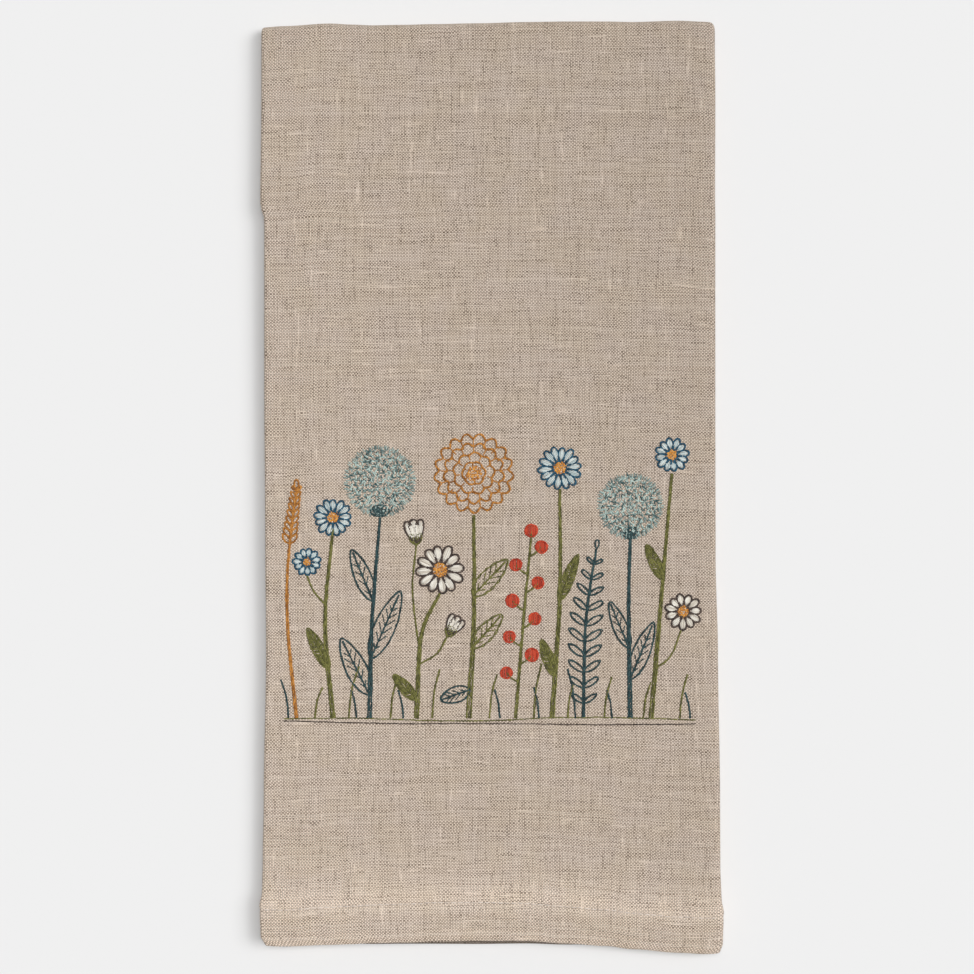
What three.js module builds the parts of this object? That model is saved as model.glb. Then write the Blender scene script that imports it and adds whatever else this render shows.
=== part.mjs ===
// A linen tea towel, folded in thirds across its width and then in half along its length.
// Millimetres. X runs across the folded towel, Y runs up to the half fold, Z is up off the table.
// The origin is under the middle of the towel, on the table.
import * as THREE from 'three';

// The cloth as it was cut and hemmed
const CLOTH_WIDTH = 508;
const CLOTH_LENGTH = 711;
const CLOTH_THICK = 1;
const HEM_THICK = 1.3;
const HEM_DEPTH = 15.4;
const HEM_RAMP = 6;

// How the layers lie on each other
const LAYER_GAP = 0.4;
const HALF_FOLD_GAP = 0.8;
const THIRDS = 3;
const MEAN_WIDTH = 173.5;
const MEAN_LENGTH = CLOTH_LENGTH / 2;

// Where the two side folds lie, at distances up from the hemmed end. The left fold steps out
// a little near the top, and both flare at the stiff hem.
const SIDE_FOLDS = [
  { up: 0, left: -86.9, right: 87.7 },
  { up: 3.5, left: -88.6, right: 88.8 },
  { up: HEM_DEPTH, left: -89.0, right: 89.0 },
  { up: HEM_DEPTH + HEM_RAMP, left: -88.1, right: 88.3 },
  { up: 33, left: -87.9, right: 87.9 },
  { up: 58, left: -87.5, right: 87.8 },
  { up: 116, left: -86.6, right: 87.0 },
  { up: 153, left: -86.9, right: 86.1 },
  { up: 218, left: -87.3, right: 86.0 },
  { up: 284, left: -87.3, right: 86.0 },
  { up: 290, left: -88.8, right: 85.9 },
  { up: 328, left: -88.4, right: 86.0 },
  { up: MEAN_LENGTH, left: -88.4, right: 85.8 },
];

// Where the half fold and the hemmed ends lie, from left to right, and how far the front
// half's end stops short of the back half's, which shows below it as a thin line
const END_EDGES = [
  { x: -89, top: 176.6, bottom: -176.0, short: 0 },
  { x: -80, top: 177.2, bottom: -176.3, short: 0 },
  { x: -62, top: 178.2, bottom: -175.8, short: 0 },
  { x: -46, top: 177.5, bottom: -175.6, short: 0.2 },
  { x: -22, top: 178.0, bottom: -176.0, short: 0.8 },
  { x: 14, top: 178.8, bottom: -175.8, short: 1.1 },
  { x: 28, top: 179.0, bottom: -176.4, short: 0.9 },
  { x: 44, top: 179.0, bottom: -176.8, short: 0.6 },
  { x: 54, top: 178.8, bottom: -177.8, short: 0.4 },
  { x: 72, top: 179.3, bottom: -178.8, short: 0.1 },
  { x: 82, top: 178.9, bottom: -179.2, short: 0 },
  { x: 89, top: 178.0, bottom: -178.9, short: 0 },
];

// Broad low swells in the pressed cloth: the share by which each lifts the layers
const SWELLS = [
  { x: -58, y: 122, rise: 0.07, reach: 46 },
  { x: 40, y: 60, rise: -0.05, reach: 60 },
  { x: -30, y: -40, rise: 0.05, reach: 55 },
  { x: 60, y: -120, rise: 0.06, reach: 42 },
  { x: -66, y: -140, rise: -0.04, reach: 34 },
];

// How finely each stretch is divided
const PANEL_STEPS = 9;
const SIDE_FOLD_STEPS = 4;
const HALF_FOLD_STEPS = 6;
const LONGEST_STEP = 34;

const LINEN = new THREE.MeshStandardMaterial({ color: 0xb8a998, roughness: 0.95, metalness: 0 });

function soften(share) {
  return share * share * (3 - 2 * share);
}

function mix(from, to, share) {
  return from + (to - from) * share;
}

// Reads a column of a table at a place between its rows
function readAt(table, key, place, column) {
  const last = table.length - 1;
  if (place <= table[0][key]) return table[0][column];
  if (place >= table[last][key]) return table[last][column];
  const next = table.findIndex((row) => row[key] >= place);
  const before = table[next - 1];
  const after = table[next];
  const share = (place - before[key]) / (after[key] - before[key]);
  return mix(before[column], after[column], soften(share));
}

// The share by which the swells lift the layers at a place
function swellAt(x, y) {
  let lift = 1;
  for (const { x: middleX, y: middleY, rise, reach } of SWELLS) {
    const away = Math.hypot(x - middleX, y - middleY) / reach;
    lift += rise * Math.exp(-away * away);
  }
  return lift;
}

// The cloth's thickness at a distance from its hemmed end
function thicknessAt(fromEnd) {
  const share = THREE.MathUtils.clamp((HEM_DEPTH + HEM_RAMP - fromEnd) / HEM_RAMP, 0, 1);
  return mix(CLOTH_THICK, HEM_THICK, soften(share));
}

// Places across the cloth, from the free edge of the right flap, round the right fold,
// over the front panel, round the left fold and along the left flap to its free edge.
// Each has its stretch and its share along that stretch.
function placesAcross() {
  const stretches = [
    { stretch: 'rightFlap', steps: PANEL_STEPS },
    { stretch: 'rightFold', steps: SIDE_FOLD_STEPS },
    { stretch: 'front', steps: PANEL_STEPS },
    { stretch: 'leftFold', steps: SIDE_FOLD_STEPS },
    { stretch: 'leftFlap', steps: PANEL_STEPS },
  ];
  const places = stretches.flatMap(({ stretch, steps }) =>
    Array.from({ length: steps }, (_, step) => ({ stretch, share: step / steps })));
  places.push({ stretch: 'leftFlap', share: 1 });
  return places;
}

// Places along the cloth: up the front half, over the half fold and down the back half.
// Each has its distance from the nearer end and how far round the half fold it has turned.
function placesAlong() {
  const stops = SIDE_FOLDS.map(({ up }) => up);
  const straight = stops.slice(1).flatMap((stop, index) => {
    const from = stops[index];
    const steps = Math.ceil((stop - from) / LONGEST_STEP);
    return Array.from({ length: steps }, (_, step) => mix(from, stop, (step + 1) / steps));
  });
  straight.unshift(0);
  const front = straight.map((fromEnd) => ({ fromEnd, turn: 0 }));
  const fold = Array.from({ length: HALF_FOLD_STEPS - 1 }, (_, step) =>
    ({ fromEnd: MEAN_LENGTH, turn: (Math.PI * (step + 1)) / HALF_FOLD_STEPS }));
  const back = [...straight].reverse().map((fromEnd) => ({ fromEnd, turn: Math.PI }));
  return [...front, ...fold, ...back];
}

// The thirds' section: how far a point of the cloth lies from the middle between the halves,
// and where it lies across. side is +1 on the cloth's outer face and -1 on its inner one.
function sectionPoint({ stretch, share }, side, thick, left, right) {
  const pitch = thick + LAYER_GAP;
  const innermost = HALF_FOLD_GAP / 2 + thick / 2;
  const heights = Array.from({ length: THIRDS }, (_, layer) => innermost + layer * pitch);
  const [rightFlapHeight, leftFlapHeight, frontHeight] = heights;
  const offset = (side * thick) / 2;
  const rightRadius = (frontHeight - rightFlapHeight) / 2;
  const leftRadius = (frontHeight - leftFlapHeight) / 2;
  const rightCentre = right - rightRadius - thick / 2;
  const leftCentre = left + leftRadius + thick / 2;
  const turn = Math.PI * share;
  const front = MEAN_WIDTH - rightRadius - leftRadius - thick;
  const flap = (CLOTH_WIDTH - front - Math.PI * (rightRadius + leftRadius)) / 2;
  switch (stretch) {
    case 'rightFlap':
      return { across: rightCentre - flap * (1 - share), height: rightFlapHeight - offset };
    case 'rightFold':
      return {
        across: rightCentre + (rightRadius + offset) * Math.sin(turn),
        height: rightFlapHeight + rightRadius - (rightRadius + offset) * Math.cos(turn),
      };
    case 'front':
      return { across: mix(rightCentre, leftCentre, share), height: frontHeight + offset };
    case 'leftFold':
      return {
        across: leftCentre - (leftRadius + offset) * Math.sin(turn),
        height: leftFlapHeight + leftRadius + (leftRadius + offset) * Math.cos(turn),
      };
    default:
      return { across: leftCentre + flap * share, height: leftFlapHeight - offset };
  }
}

// A point of the cloth's outer or inner face, on the folded towel
function pointOnTowel(across, { fromEnd, turn }, side) {
  const thick = thicknessAt(fromEnd);
  const rise = HALF_FOLD_GAP / 2 + THIRDS * thick + (THIRDS - 1) * LAYER_GAP;
  const left = readAt(SIDE_FOLDS, 'up', fromEnd, 'left');
  const right = readAt(SIDE_FOLDS, 'up', fromEnd, 'right');
  const { across: x, height } = sectionPoint(across, side, thick, left, right);
  const turnLine = readAt(END_EDGES, 'x', x, 'top') - rise;
  const short = turn === 0 ? readAt(END_EDGES, 'x', x, 'short') : 0;
  const end = readAt(END_EDGES, 'x', x, 'bottom') + short;
  const y = mix(end, turnLine, fromEnd / MEAN_LENGTH) + height * Math.sin(turn);
  const z = rise + height * Math.cos(turn);
  return new THREE.Vector3(x, y, z * swellAt(x, y));
}

// The cloth as one closed body: its outer face, its inner face and the four cut edges
function foldedCloth() {
  const across = placesAcross();
  const along = placesAlong();
  const columns = across.length;
  const rows = along.length;
  const faceSize = columns * rows;
  const positions = [];
  for (const side of [1, -1]) {
    for (const row of along) {
      for (const column of across) {
        positions.push(...pointOnTowel(column, row, side).toArray());
      }
    }
  }
  const outer = (column, row) => row * columns + column;
  const inner = (column, row) => faceSize + outer(column, row);
  const triangles = [];
  const quad = (a, b, c, d) => triangles.push(a, b, c, a, c, d);
  for (let row = 0; row < rows - 1; row += 1) {
    for (let column = 0; column < columns - 1; column += 1) {
      quad(outer(column, row), outer(column, row + 1),
        outer(column + 1, row + 1), outer(column + 1, row));
      quad(inner(column, row), inner(column + 1, row),
        inner(column + 1, row + 1), inner(column, row + 1));
    }
  }
  for (let row = 0; row < rows - 1; row += 1) {
    const last = columns - 1;
    quad(outer(0, row), inner(0, row), inner(0, row + 1), outer(0, row + 1));
    quad(outer(last, row), outer(last, row + 1), inner(last, row + 1), inner(last, row));
  }
  for (let column = 0; column < columns - 1; column += 1) {
    const last = rows - 1;
    quad(outer(column, 0), outer(column + 1, 0), inner(column + 1, 0), inner(column, 0));
    quad(outer(column, last), inner(column, last),
      inner(column + 1, last), outer(column + 1, last));
  }
  const cloth = new THREE.BufferGeometry();
  cloth.setAttribute('position', new THREE.Float32BufferAttribute(positions, 3));
  cloth.setIndex(triangles);
  cloth.computeVertexNormals();
  return cloth;
}

const towel = new THREE.Mesh(foldedCloth(), LINEN);
towel.name = 'towel';

const model = new THREE.Group();
model.add(towel);

export default model;
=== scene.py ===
import math

import bpy
import numpy as np
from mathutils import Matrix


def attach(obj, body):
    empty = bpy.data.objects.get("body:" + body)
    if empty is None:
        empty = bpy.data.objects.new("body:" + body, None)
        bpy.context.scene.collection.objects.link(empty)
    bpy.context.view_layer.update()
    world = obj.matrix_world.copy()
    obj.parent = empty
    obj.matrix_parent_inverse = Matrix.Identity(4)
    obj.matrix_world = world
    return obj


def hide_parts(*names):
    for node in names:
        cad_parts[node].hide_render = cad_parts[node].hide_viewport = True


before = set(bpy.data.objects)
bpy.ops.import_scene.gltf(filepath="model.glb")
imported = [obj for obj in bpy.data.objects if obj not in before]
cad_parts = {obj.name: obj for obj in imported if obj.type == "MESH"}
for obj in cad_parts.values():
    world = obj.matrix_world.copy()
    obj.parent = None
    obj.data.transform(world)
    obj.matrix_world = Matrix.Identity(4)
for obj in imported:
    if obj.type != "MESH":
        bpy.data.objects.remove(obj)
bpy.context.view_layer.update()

# Lengths in this script are millimetres, and MM turns them into metres
MM = 0.001
TURN = 2 * math.pi

# The cloth as it was cut and hemmed
CLOTH_WIDTH = 508
CLOTH_LENGTH = 711
CLOTH_THICK = 1
HEM_THICK = 1.3
HEM_DEPTH = 15.4
HEM_RAMP = 6
HALF_LENGTH = CLOTH_LENGTH / 2

# How the layers lie on each other
LAYER_GAP = 0.4
HALF_FOLD_GAP = 0.8
THIRDS = 3
MEAN_WIDTH = 173.5


def table(columns, *rows):
    """A table with named columns, each an array."""
    return dict(zip(columns.split(), np.array(rows, float).T))


# Where the two side folds lie, at distances up from the hemmed end
SIDE_FOLDS = table(
    "up left right",
    (0, -86.9, 87.7),
    (3.5, -88.6, 88.8),
    (HEM_DEPTH, -89.0, 89.0),
    (HEM_DEPTH + HEM_RAMP, -88.1, 88.3),
    (33, -87.9, 87.9),
    (58, -87.5, 87.8),
    (116, -86.6, 87.0),
    (153, -86.9, 86.1),
    (218, -87.3, 86.0),
    (284, -87.3, 86.0),
    (290, -88.8, 85.9),
    (328, -88.4, 86.0),
    (HALF_LENGTH, -88.4, 85.8),
)

# Where the half fold and the hemmed ends lie, and how far the lowest layer reaches past them
END_EDGES = table(
    "x top bottom past",
    (-89, 176.6, -176.0, 0),
    (-80, 177.2, -176.3, 0),
    (-62, 178.2, -175.7, 0.2),
    (-54, 177.8, -175.4, 1.2),
    (-46, 177.5, -175.0, 1.8),
    (-34, 177.7, -174.8, 1.9),
    (-22, 178.0, -174.4, 2.3),
    (-6, 178.3, -174.1, 2.7),
    (14, 178.8, -174.2, 2.4),
    (28, 179.0, -175.1, 1.9),
    (44, 179.0, -176.1, 0.9),
    (54, 178.8, -177.3, 0.4),
    (72, 179.3, -178.7, 0.1),
    (82, 178.9, -179.2, 0),
    (89, 178.0, -178.9, 0),
)

# Broad low swells in the pressed cloth: the share by which each lifts the layers
SWELLS = table(
    "x y rise reach",
    (-58, 122, 0.07, 46),
    (40, 60, -0.05, 60),
    (-30, -40, 0.05, 55),
    (60, -120, 0.06, 42),
    (-66, -140, -0.04, 34),
)

# The hem is a little deeper in the middle of the front: how much, and over what width
HEM_WANDER = 0.65
WANDER_CREST = 277
WANDER_WIDTH = 175

# The hem's stitch line, its groove, the turned edge under the cloth and the puckers between
STITCH_LINE = 14.6
GROOVE_DEPTH = 0.16
GROOVE_WIDTH = 0.9
RIDGE_HEIGHT = 0.12
RIDGE_WIDTH = 1.1
PUCKER_HEIGHT = 0.05
PUCKER_LENGTH = 7.3
PUCKER_REACH = 4.5

# The hem's end is a fold of the cloth: over END_ROUNDING its thickness rounds off by the share
# ROUNDED_AWAY, which leaves END_DEPTH
END_ROUNDING = 0.65
ROUNDED_AWAY = 0.93
END_DEPTH = 0.5

# How much of the cloth's length bends round the half fold, on each side of its middle
FOLD_REACH = 6

# How the cloth's length is divided, up from each end: the rows on its rounded end, the start,
# stop and step of the rows in its hem and by its stitches, and then equal steps up each half
END_ROWS = (0, 0.08, 0.2, 0.4, END_ROUNDING)
HEM_ROWS = (1.5, 11, 1.5)
STITCH_ROWS = (11.5, 19, 0.5)
PAST_HEM = 19.5
FRONT_STEP = 2.7
BACK_STEP = 5.5
HALF_FOLD_STEPS = 12

# Fine unevenness of the pressed linen, as a share of the height: how many waves of each length
RUMPLE = table(
    "length share count",
    (70, 0.010, 14),
    (30, 0.0045, 26),
    (14, 0.0018, 40),
)

# The plain weave's two sets of yarns. Their pitch is in mm. Their width, how far they sway and how
# high they crown over the others are shares of it. Their tone differs from yarn to yarn, and
# varies along each. Drift is how many times a mm their spacing changes.
WARP = {"pitch": 0.617, "width": 1.15, "sway": 0.5, "crown": 1.0, "tones_differ": 0.2,
        "tone_varies": 0.4, "drift": 0.09, "seed": 11.0}
WEFT = {"pitch": 0.6, "width": 0.85, "sway": 1.05, "crown": 0.55, "tones_differ": 1.0,
        "tone_varies": 0.55, "drift": 0.08, "seed": 23.0}

# How many pitches the yarns drift, and how much their width differs from yarn to yarn and varies
# along each
YARN_DRIFT = 2.6
YARNS_DIFFER = 0.08
UNEVEN = 0.2

# How high a yarn lies on its way under another, and how far it dips there
UNDER_LEVEL = 0.35
UNDER_DIP = 0.3

# How many times a mm a yarn swells, has slubs and sways. A slub grows where its noise is in a
# range, and fills the gaps beside it.
SWELL_SCALE = 0.1
SLUB_SCALE = 0.06
SLUB_RANGE = (0.68, 0.78)
SLUB_FILLS = 0.15
SWAY_SCALE = 0.05

# In that noise, how far each yarn lies from the next, how far along its own start may be, and
# how far away the part is that it sways by
YARNS_APART = 3.7
YARN_STARTS = 40.0
SWAY_PLACE = (170.0, 60.0, 0.0)

# Whether there is a pit where two yarns cross is left to chance. Thin yarns add to it, and the pit
# deepens over a range.
THIN_ADDS = 3.5
PIT_RANGE = (1.0, 1.5)

# The range of heights over which the shade between the yarns dies away, and its curve
SHADED_HEIGHTS = (0.175, 0.77)
SHADE_CURVE = 1.6

# The linen's sRGB colours: its yarns' darkest and lightest, the painted shade in the gaps between
# them, its fine fibres, the tint of its warmer patches and its sheen
LINEN_DARK = (206, 187, 171)
LINEN_LIGHT = (237, 222, 208)
LINEN_GAP = (52, 34, 10)
LINEN_FIBRE = (198, 180, 162)
LINEN_WARM = (247, 243, 214)
LINEN_SHEEN = (255, 238, 218)

# How many times a mm the fibres and the warmer patches come, and how strongly they show
FIBRE_SCALE = 3.1
FIBRES_SHOW = 0.3
WARM_SCALE = 0.07
WARMTH_SHOWS = 0.17

# How much paler the linen is at distances up from its ends: paler where it is doubled, with
# painted light on the ramp above the hem's stitches and painted shade in a dip nearer the end
HEM_TONE_AND_PAINTED_LIGHT = table(
    "up paler",
    (0, 0.10),
    (3, 0.11),
    (6.3, 0.04),
    (10, 0.11),
    (14, 0.15),
    (16, 0.23),
    (18, 0.20),
    (21, 0.11),
    (26, 0.06),
    (38, 0.0),
)

# The back hem's edge peeps out below the front, and painted shade darkens it there by a share.
# This dies away over a range of distances from the cloth's middle, and over one from its end.
BACK_EDGE_SHADE = 0.75
BACK_EDGE_WIDTH = (50.0, 72.0)
BACK_EDGE_DEPTH = (1.6, 2.8)

# Painted light: how much paler the linen grows with each metre to the right, toward the half
# fold and upward, so that it looks lit more brightly toward the lower left
PAINTED_LIGHT_PER_METRE = (-0.56, -0.29, 0.0)

# Sewing thread: the width of a strand, the shares of it that strands differ by, how flat one lies
# and the length in which its plies wind. PLY_SHIFT sets each stitch's plies apart from the next's.
STRAND_WIDTH = 0.5
STRANDS_DIFFER = (0.88, 1.12)
STRAND_FLATNESS = 0.75
PLY_LENGTH = 0.55
PLY_SHIFT = 7.3

# The tube that a stitch is made as: at shares of its length, how much of its width it swells to
# and how many widths it rises
TUBE_SIDES = 5
TUBE_RINGS = table(
    "share swell rise",
    (0, 0.7, -0.14),
    (0.22, 1, 0.42),
    (0.78, 1, 0.42),
    (1, 0.7, -0.14),
)

# Stitches in a line, in an outline and in a stem's left, right and middle lines, and how far
# apart the passes of a line and the threads of a filling lie
STITCH_LENGTH = 1.7
OUTLINE_STITCH = 1.3
STEM_STITCHES = (1.9, 2.3, 2.7)
PASS_SPREAD = 0.3
SATIN_GAP = 0.45

# How far needle holes stray and threads bow, by the spread of each
LINE_STRAY = 0.05
LINE_BOW = 0.06
SATIN_STRAY = 0.1
SATIN_BOW = 0.05
SCATTER_BOW = 0.12

# The hem's stitches, and how far the table presses the lowest of them in
HEM_STITCH = 2.5
HEM_STITCH_GAP = 0.35
HEM_STRAND = 0.5
HEM_STRAY = 0.06
PRESSED_IN = 0.3

# Where the middle of the embroidery lies on the towel's front. The plants are measured from it,
# and grow from the ground.
PICTURE_MIDDLE = np.array((-0.8, -32))
GROUND = -57
HALF_MEADOW = 79
THIN_STEM = 0.7

# Blades of grass that lean to the right are olive, and those to the left are spruce
GRASS = table(
    "x height lean",
    (-77, 15, -3),
    (-67, 12, 3),
    (-54, 20, 4),
    (-51, 11, -2),
    (-38, 16, 3),
    (-33, 11, -2),
    (-22, 19, 3),
    (0, 17, 3),
    (4, 11, -2),
    (17, 21, 3),
    (19, 12, -2),
    (30, 13, 2),
    (33, 19, -3),
    (44, 16, 3),
    (47, 11, -2),
    (59, 14, 3),
    (73, 17, 3),
    (77, 10, -2),
)

# Each thread's darkest and lightest sRGB colour
THREADS = {
    "olive": ((56, 56, 16), (136, 134, 70)),
    "spruce": ((10, 36, 40), (58, 88, 90)),
    "teal": ((34, 72, 76), (196, 216, 208)),
    "ochre": ((124, 70, 16), (216, 150, 68)),
    "cream": ((204, 194, 178), (252, 248, 238)),
    "umber": ((38, 30, 28), (98, 82, 74)),
    "blue": ((4, 42, 62), (44, 100, 126)),
    "pale_blue": ((174, 192, 194), (228, 235, 231)),
    "gold": ((176, 106, 32), (240, 176, 84)),
    "coral": ((132, 24, 10), (228, 86, 52)),
}
HEM_THREAD = ((206, 192, 179), (239, 227, 216))

# The studio's lamps, in degrees round from the right and up from the table, and its surround
LAMPS = table(
    "heading height strength angle",
    (90, 81, 1.25, 22),
    (10, 66, 0.80, 30),
    (10, 50, 1.00, 30),
)
SURROUND = 0.22


def soften(share):
    return share * share * (3 - 2 * share)


def mix(start, end, share):
    return start + (end - start) * share


def read_at(rows, key, place, column):
    """Reads a column of a table at places between its rows."""
    keys = rows[key]
    before = np.clip(np.searchsorted(keys, place, side="right") - 1, 0, len(keys) - 2)
    share = np.clip((place - keys[before]) / (keys[before + 1] - keys[before]), 0, 1)
    return mix(rows[column][before], rows[column][before + 1], soften(share))


def rumple_waves():
    """The waves of fine unevenness: their numbers across and along, phases and strengths."""
    random = np.random.default_rng(5)
    waves = []
    for length, share, count in zip(*RUMPLE.values()):
        for _ in range(int(count)):
            heading = random.uniform(0, math.pi)
            number = TURN / (length * random.uniform(0.75, 1.35))
            phase = random.uniform(0, TURN)
            strength = share / math.sqrt(count)
            waves.append((number * math.cos(heading), number * math.sin(heading), phase, strength))
    return waves


WAVES = rumple_waves()


def lift_at(x, y):
    """The share by which swells and fine unevenness lift the layers at a place."""
    lift = np.ones(np.broadcast(x, y).shape)
    for middle_x, middle_y, rise, reach in zip(*SWELLS.values()):
        away = np.hypot(x - middle_x, y - middle_y) / reach
        lift += rise * np.exp(-away * away)
    for number_x, number_y, phase, strength in WAVES:
        lift += strength * np.sin(number_x * x + number_y * y + phase)
    return lift


def hem_wander(along_width):
    """How much deeper than its mean the hem is, at a place along the cloth's width."""
    return HEM_WANDER * np.cos(TURN * (along_width - WANDER_CREST) / WANDER_WIDTH)


def thickness_at(along_width, from_end):
    from_ramp = HEM_DEPTH + HEM_RAMP + hem_wander(along_width) - from_end
    return mix(CLOTH_THICK, HEM_THICK, soften(np.clip(from_ramp / HEM_RAMP, 0, 1)))


def bell(distance, width):
    return np.exp(-((distance / width) ** 2))


def relief_at(along_width, from_end):
    """How far the cloth's faces stand proud at the hem: its stitch groove, ridge and puckers,
    which are uneven in length and height."""
    from_stitches = from_end - STITCH_LINE - hem_wander(along_width)
    groove = -GROOVE_DEPTH * bell(from_stitches, GROOVE_WIDTH)
    from_turned_edge = from_stitches + STITCH_LINE - HEM_DEPTH
    ridge = RIDGE_HEIGHT * bell(from_turned_edge - RIDGE_WIDTH / 2, RIDGE_WIDTH)
    turns = TURN * along_width / PUCKER_LENGTH
    uneven = 1.7 * np.sin(0.31 * turns)
    waves = np.sin(turns + uneven) + 0.5 * np.sin(0.43 * turns + 2)
    puckers = PUCKER_HEIGHT * waves * bell(from_stitches, PUCKER_REACH)
    return groove + ridge + puckers


def rounded_thickness(thick, from_end):
    """The cloth's thickness where its end rounds off."""
    inside = np.clip(1 - from_end / END_ROUNDING, 0, 1)
    return thick * np.sqrt(1 - (ROUNDED_AWAY * inside) ** 2)


def stack_rise(thick):
    """From the table to the middle of the half fold."""
    return HALF_FOLD_GAP / 2 + THIRDS * thick + (THIRDS - 1) * LAYER_GAP


FOLD_RADIUS = {"right": CLOTH_THICK + LAYER_GAP, "left": (CLOTH_THICK + LAYER_GAP) / 2}
FRONT = MEAN_WIDTH - FOLD_RADIUS["right"] - FOLD_RADIUS["left"] - CLOTH_THICK
ROUND_FOLDS = math.pi * (FOLD_RADIUS["right"] + FOLD_RADIUS["left"])
FLAP = (CLOTH_WIDTH - FRONT - ROUND_FOLDS) / 2

# Stretches across the cloth, from the right flap's free edge to the left flap's
STRETCHES = (
    {"name": "right_flap", "length": FLAP, "steps": 26},
    {"name": "right_fold", "length": math.pi * FOLD_RADIUS["right"], "steps": 8},
    {"name": "front", "length": FRONT, "steps": 82},
    {"name": "left_fold", "length": math.pi * FOLD_RADIUS["left"], "steps": 8},
    {"name": "left_flap", "length": FLAP, "steps": 26},
)


def columns_across():
    """For each column of the cloth: its stretch, its share along that and its flat place."""
    columns = []
    start = 0
    for stretch in STRETCHES:
        for step in range(stretch["steps"]):
            share = step / stretch["steps"]
            columns.append((stretch["name"], share, start + share * stretch["length"]))
        start += stretch["length"]
    columns.append((STRETCHES[-1]["name"], 1, start))
    return columns


def rows_along():
    """For each row of the cloth: its distance from the nearer end, how far it has turned
    round the half fold and its flat place."""
    def up_half(step):
        count = round((HALF_LENGTH - PAST_HEM) / step)
        rest = np.linspace(PAST_HEM, HALF_LENGTH, count + 1)
        return np.concatenate((END_ROWS, np.arange(*HEM_ROWS), np.arange(*STITCH_ROWS), rest))

    flat_share = (HALF_LENGTH - FOLD_REACH) / HALF_LENGTH
    front = [(up, 0, up * flat_share) for up in up_half(FRONT_STEP)]
    turns = np.linspace(0, math.pi, HALF_FOLD_STEPS + 1)[1:-1]
    fold = [(HALF_LENGTH, turn, HALF_LENGTH + FOLD_REACH * (2 * turn / math.pi - 1))
            for turn in turns]
    back = [(up, math.pi, CLOTH_LENGTH - up * flat_share) for up in up_half(BACK_STEP)[::-1]]
    return np.array(front + fold + back).T


def across_fold(stretch, share, side, thick, edge, left, right):
    """Where a column lies across, and how far from the middle between the towel's halves.
    edge is the thickness with its rounded end, which only moves the two faces."""
    pitch = thick + LAYER_GAP
    innermost = HALF_FOLD_GAP / 2 + thick / 2
    right_flap, left_flap, front = (innermost + layer * pitch for layer in range(THIRDS))
    offset = side * edge / 2
    right_radius = (front - right_flap) / 2
    left_radius = (front - left_flap) / 2
    right_centre = right - right_radius - thick / 2
    left_centre = left + left_radius + thick / 2
    turn = math.pi * share
    if stretch == "right_flap":
        return right_centre - FLAP * (1 - share), right_flap - offset
    if stretch == "right_fold":
        reach = right_radius + offset
        return (right_centre + reach * math.sin(turn),
                right_flap + right_radius - reach * math.cos(turn))
    if stretch == "front":
        return mix(right_centre, left_centre, share), front + offset
    if stretch == "left_fold":
        reach = left_radius + offset
        return (left_centre - reach * math.sin(turn),
                left_flap + left_radius + reach * math.cos(turn))
    return left_centre + FLAP * share, left_flap - offset


def place_on_towel(stretch, x, height, from_end, turn, thick):
    """Puts a point of the folded section on the towel, on its front or back half. The lowest
    layer is the back half's front panel, whose hem reaches past the others."""
    rise = stack_rise(thick)
    turn_line = read_at(END_EDGES, "x", x, "top") - rise
    lowest = (turn > 0) & (stretch == "front")
    past = np.where(lowest, read_at(END_EDGES, "x", x, "past"), 0)
    end = read_at(END_EDGES, "x", x, "bottom") - past
    y = mix(end, turn_line, from_end / HALF_LENGTH) + height * np.sin(turn)
    z = (rise + height * np.cos(turn)) * lift_at(x, y)
    return np.stack((x, y, z), axis=-1)


def cloth_points(stretch, share, flat, side, from_end, turn):
    """Points on one face of the cloth: its outer one for side 1, or its inner one for -1."""
    thick = thickness_at(flat, from_end)
    edge = rounded_thickness(thick, from_end) + 2 * relief_at(flat, from_end)
    left = read_at(SIDE_FOLDS, "up", from_end, "left")
    right = read_at(SIDE_FOLDS, "up", from_end, "right")
    x, height = across_fold(stretch, share, side, thick, edge, left, right)
    return place_on_towel(stretch, x, height, from_end, turn, thick)


def cloth_face(side):
    from_end, turn, _ = rows_along()
    return np.stack([cloth_points(*column, side, from_end, turn) for column in columns_across()],
                    axis=1)


def new_object(name, data):
    made = bpy.data.objects.new(name, data)
    bpy.context.scene.collection.objects.link(made)
    return made


def grid_quads(rows, columns, start=0, flip=False):
    """Quads over a grid of points that is numbered row by row."""
    row, column = np.meshgrid(np.arange(rows - 1), np.arange(columns - 1), indexing="ij")
    corner = start + row * columns + column
    quads = np.stack((corner, corner + columns, corner + columns + 1, corner + 1), axis=-1)
    quads = quads.reshape(-1, 4)
    return quads[:, ::-1] if flip else quads


def cut_edge_quads(outer, inner):
    """Quads that join two lines of points along an edge of the cloth."""
    return np.stack((outer[:-1], outer[1:], inner[1:], inner[:-1]), axis=-1)


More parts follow.
